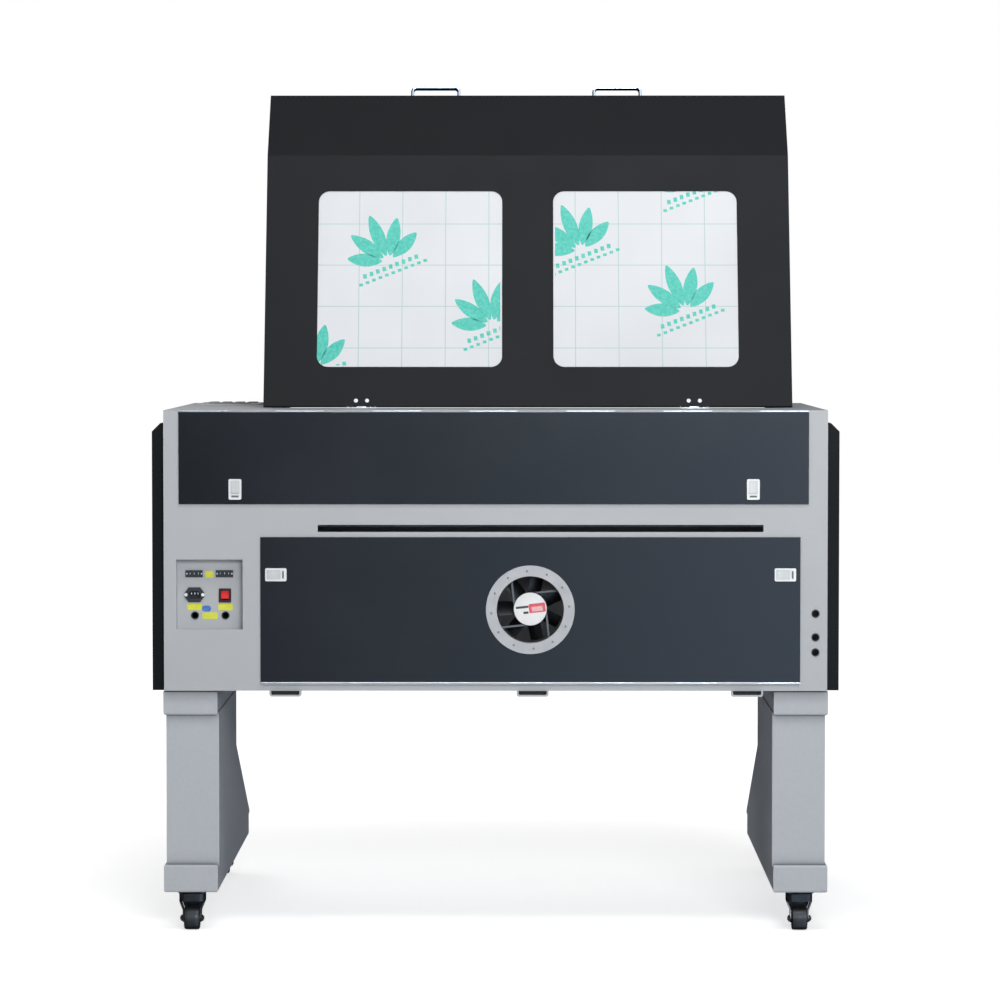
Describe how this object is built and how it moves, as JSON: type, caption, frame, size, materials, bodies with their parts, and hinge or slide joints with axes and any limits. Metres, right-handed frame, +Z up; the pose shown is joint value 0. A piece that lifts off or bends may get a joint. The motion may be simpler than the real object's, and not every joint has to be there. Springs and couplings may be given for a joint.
{
  "type": "carbon dioxide laser engraving machine",
  "caption": "Flat-bed laser engraver with an open lid on gas struts, rear exhaust fan, tube bay, gantry over a honeycomb bed, and two stands on casters",
  "frame": {"origin": "centre of the machine's outline on the floor", "axes": "Z is up, the operator's side is -Y, the rear with its doors and fan is +Y, and +X is the control deck's side"},
  "size_m": [1.489, 1.01, 1.8575],
  "materials": {
    "cabinet_paint": "fine powder coat, satin",
    "inner_sheet": "satin powder coat",
    "cover_paint": "black powder coat, satin",
    "door_gloss": "black gloss enamel",
    "lid_paint": "black powder coat, semi-gloss",
    "stand_paint": "hammered grey enamel",
    "caster_metal": "black zinc, satin",
    "caster_tyre": "hard rubber",
    "black_plastic": "moulded, fine texture",
    "bezel_red": "moulded gloss",
    "red_plastic": "moulded gloss",
    "rubber": "soft, matt",
    "zinc": "bright zinc plate",
    "machine_aluminium": "clear anodised",
    "dark_metal": "black enamel",
    "chrome": "polished plate",
    "tube_glass": "clear",
    "acrylic": "sheet with its protective film on",
    "latch_metal": "silver lacquer, satin",
    "fan_grey": "satin enamel"
  },
  "bodies": {
    "cabinet": {"rear_panel": "cabinet_paint", "side_panel_left": "cabinet_paint", "side_panel_right": "cabinet_paint", "floor_pan": "cabinet_paint", "front_panel": "cabinet_paint", "top_deck": "cabinet_paint", "power_recess": "cabinet_paint", "divider_wall": "inner_sheet", "tube_bay_wall": "inner_sheet", "bed_frame": "inner_sheet", "side_cover_left": "cover_paint", "side_cover_right": "cover_paint", "stand_left": "stand_paint", "stand_right": "stand_paint", "caster_plates": "caster_metal", "aux_sockets": "black_plastic", "power_inlet": "black_plastic", "control_panel": "black_plastic", "rocker_bezel": "bezel_red", "hose_grommets": "rubber", "hinge_bases": "zinc", "tube_mounts": "zinc", "laser_power_supply": "zinc", "y_rails": "machine_aluminium", "honeycomb_core": "machine_aluminium", "motion_controller": "dark_metal", "y_drive_motor": "dark_metal", "laser_tube": "tube_glass"},
    "lid": {"lid_shell": "lid_paint", "lid_windows": "acrylic", "lid_handles": "chrome", "lid_hinge_leaves": "dark_metal"},
    "strut_bodies": {"strut_cylinders": "dark_metal"},
    "strut_pistons": {"strut_rods": "chrome"},
    "upper_door": {"upper_door": "door_gloss", "upper_latches": "latch_metal"},
    "lower_door": {"lower_door": "door_gloss", "lower_latches": "latch_metal", "fan_ring": "fan_grey", "fan_frame": "black_plastic"},
    "fan_rotor": {"fan_rotor": "black_plastic"},
    "lever_upper_left": {"latch_lever_upper_left": "latch_metal"},
    "lever_upper_right": {"latch_lever_upper_right": "latch_metal"},
    "lever_lower_left": {"latch_lever_lower_left": "latch_metal"},
    "lever_lower_right": {"latch_lever_lower_right": "latch_metal"},
    "rocker": {"power_rocker": "red_plastic"},
    "stop_button": {"stop_button": "red_plastic"},
    "gantry": {"gantry_beam": "machine_aluminium"},
    "head": {"head_carriage": "machine_aluminium"},
    "lens": {"lens_tube": "machine_aluminium"},
    "drive_shaft": {"drive_shaft": "zinc"},
    "tray": {"debris_tray": "cabinet_paint"},
    "fork_rear_left": {"caster_fork_rear_left": "caster_metal"},
    "wheel_rear_left": {"caster_wheel_rear_left": "caster_tyre"},
    "fork_rear_right": {"caster_fork_rear_right": "caster_metal"},
    "wheel_rear_right": {"caster_wheel_rear_right": "caster_tyre"},
    "fork_front_left": {"caster_fork_front_left": "caster_metal"},
    "wheel_front_left": {"caster_wheel_front_left": "caster_tyre"},
    "fork_front_right": {"caster_fork_front_right": "caster_metal"},
    "wheel_front_right": {"caster_wheel_front_right": "caster_tyre"}
  },
  "joints": [
    {"name": "lid_hinge", "type": "hinge", "parent": "cabinet", "child": "lid", "pos_m": [-0.07, 0.243, 1.1336], "axis": [1, 0, 0], "range_deg": [0, 73]},
    {"name": "strut_tilt", "type": "hinge", "parent": "cabinet", "child": "strut_bodies", "pos_m": [-0.07, -0.19, 1.067], "axis": [1, 0, 0], "range_deg": [-17.76, 0]},
    {"name": "strut_stroke", "type": "slide", "parent": "strut_bodies", "child": "strut_pistons", "axis": [0, 0.8774, 0.4798], "range_m": [-0.1424, 0]},
    {"name": "upper_door_hinge", "type": "hinge", "parent": "cabinet", "child": "upper_door", "pos_m": [0.004, 0.4957, 1.127], "axis": [1, 0, 0], "range_deg": [0, 100]},
    {"name": "lower_door_hinge", "type": "hinge", "parent": "cabinet", "child": "lower_door", "pos_m": [-0.075, 0.4957, 0.541], "axis": [1, 0, 0], "range_deg": [-85, 0]},
    {"name": "fan_spin", "type": "hinge", "parent": "lower_door", "child": "fan_rotor", "pos_m": [-0.075, 0.4963, 0.6995], "axis": [0, 1, 0], "continuous": true},
    {"name": "lever_upper_left_swing", "type": "hinge", "parent": "upper_door", "child": "lever_upper_left", "pos_m": [0.5605, 0.4988, 0.97605], "axis": [1, 0, 0], "range_deg": [0, 40]},
    {"name": "lever_upper_right_swing", "type": "hinge", "parent": "upper_door", "child": "lever_upper_right", "pos_m": [-0.5545, 0.4988, 0.97605], "axis": [1, 0, 0], "range_deg": [0, 40]},
    {"name": "lever_lower_left_swing", "type": "hinge", "parent": "lower_door", "child": "lever_lower_left", "pos_m": [0.4909, 0.4988, 0.775], "axis": [0, 0, 1], "range_deg": [-40, 0]},
    {"name": "lever_lower_right_swing", "type": "hinge", "parent": "lower_door", "child": "lever_lower_right", "pos_m": [-0.6061, 0.4988, 0.775], "axis": [0, 0, 1], "range_deg": [-40, 0]},
    {"name": "rocker_tilt", "type": "hinge", "parent": "cabinet", "child": "rocker", "pos_m": [0.585, 0.461, 0.7283], "axis": [1, 0, 0], "range_deg": [-22, 0]},
    {"name": "stop_press", "type": "slide", "parent": "cabinet", "child": "stop_button", "axis": [0, -0.4067, 0.9135], "range_m": [-0.005, 0], "stiffness_N_per_m": 900},
    {"name": "gantry_travel", "type": "slide", "parent": "cabinet", "child": "gantry", "axis": [0, 1, 0], "range_m": [-0.5, 0.1]},
    {"name": "head_travel", "type": "slide", "parent": "gantry", "child": "head", "axis": [1, 0, 0], "range_m": [-0.647, 0.253]},
    {"name": "lens_focus", "type": "slide", "parent": "head", "child": "lens", "axis": [0, 0, 1], "range_m": [-0.01, 0.006]},
    {"name": "drive_shaft_spin", "type": "hinge", "parent": "cabinet", "child": "drive_shaft", "pos_m": [-0.07, 0.268, 0.942], "axis": [1, 0, 0], "continuous": true},
    {"name": "tray_slide", "type": "slide", "parent": "cabinet", "child": "tray", "axis": [0, 1, 0], "range_m": [0, 0.6]},
    {"name": "swivel_rear_left", "type": "hinge", "parent": "cabinet", "child": "fork_rear_left", "pos_m": [0.6595, 0.435, 0.07], "axis": [0, 0, 1], "continuous": true},
    {"name": "roll_rear_left", "type": "hinge", "parent": "fork_rear_left", "child": "wheel_rear_left", "pos_m": [0.6595, 0.451, 0.025], "axis": [1, 0, 0], "continuous": true},
    {"name": "swivel_rear_right", "type": "hinge", "parent": "cabinet", "child": "fork_rear_right", "pos_m": [-0.6595, 0.435, 0.07], "axis": [0, 0, 1], "continuous": true},
    {"name": "roll_rear_right", "type": "hinge", "parent": "fork_rear_right", "child": "wheel_rear_right", "pos_m": [-0.6595, 0.451, 0.025], "axis": [1, 0, 0], "continuous": true},
    {"name": "swivel_front_left", "type": "hinge", "parent": "cabinet", "child": "fork_front_left", "pos_m": [0.6595, -0.449, 0.07], "axis": [0, 0, 1], "continuous": true},
    {"name": "roll_front_left", "type": "hinge", "parent": "fork_front_left", "child": "wheel_front_left", "pos_m": [0.6595, -0.433, 0.025], "axis": [1, 0, 0], "continuous": true},
    {"name": "swivel_front_right", "type": "hinge", "parent": "cabinet", "child": "fork_front_right", "pos_m": [-0.6595, -0.449, 0.07], "axis": [0, 0, 1], "continuous": true},
    {"name": "roll_front_right", "type": "hinge", "parent": "fork_front_right", "child": "wheel_front_right", "pos_m": [-0.6595, -0.433, 0.025], "axis": [1, 0, 0], "continuous": true}
  ],
  "couplings": [
    {"joint": "strut_tilt", "follows": "lid_hinge", "ratio": -0.24319},
    {"joint": "strut_stroke", "follows": "lid_hinge", "m_per_rad": -0.11164},
    {"joint": "drive_shaft_spin", "follows": "gantry_travel", "rad_per_m": -111}
  ]
}
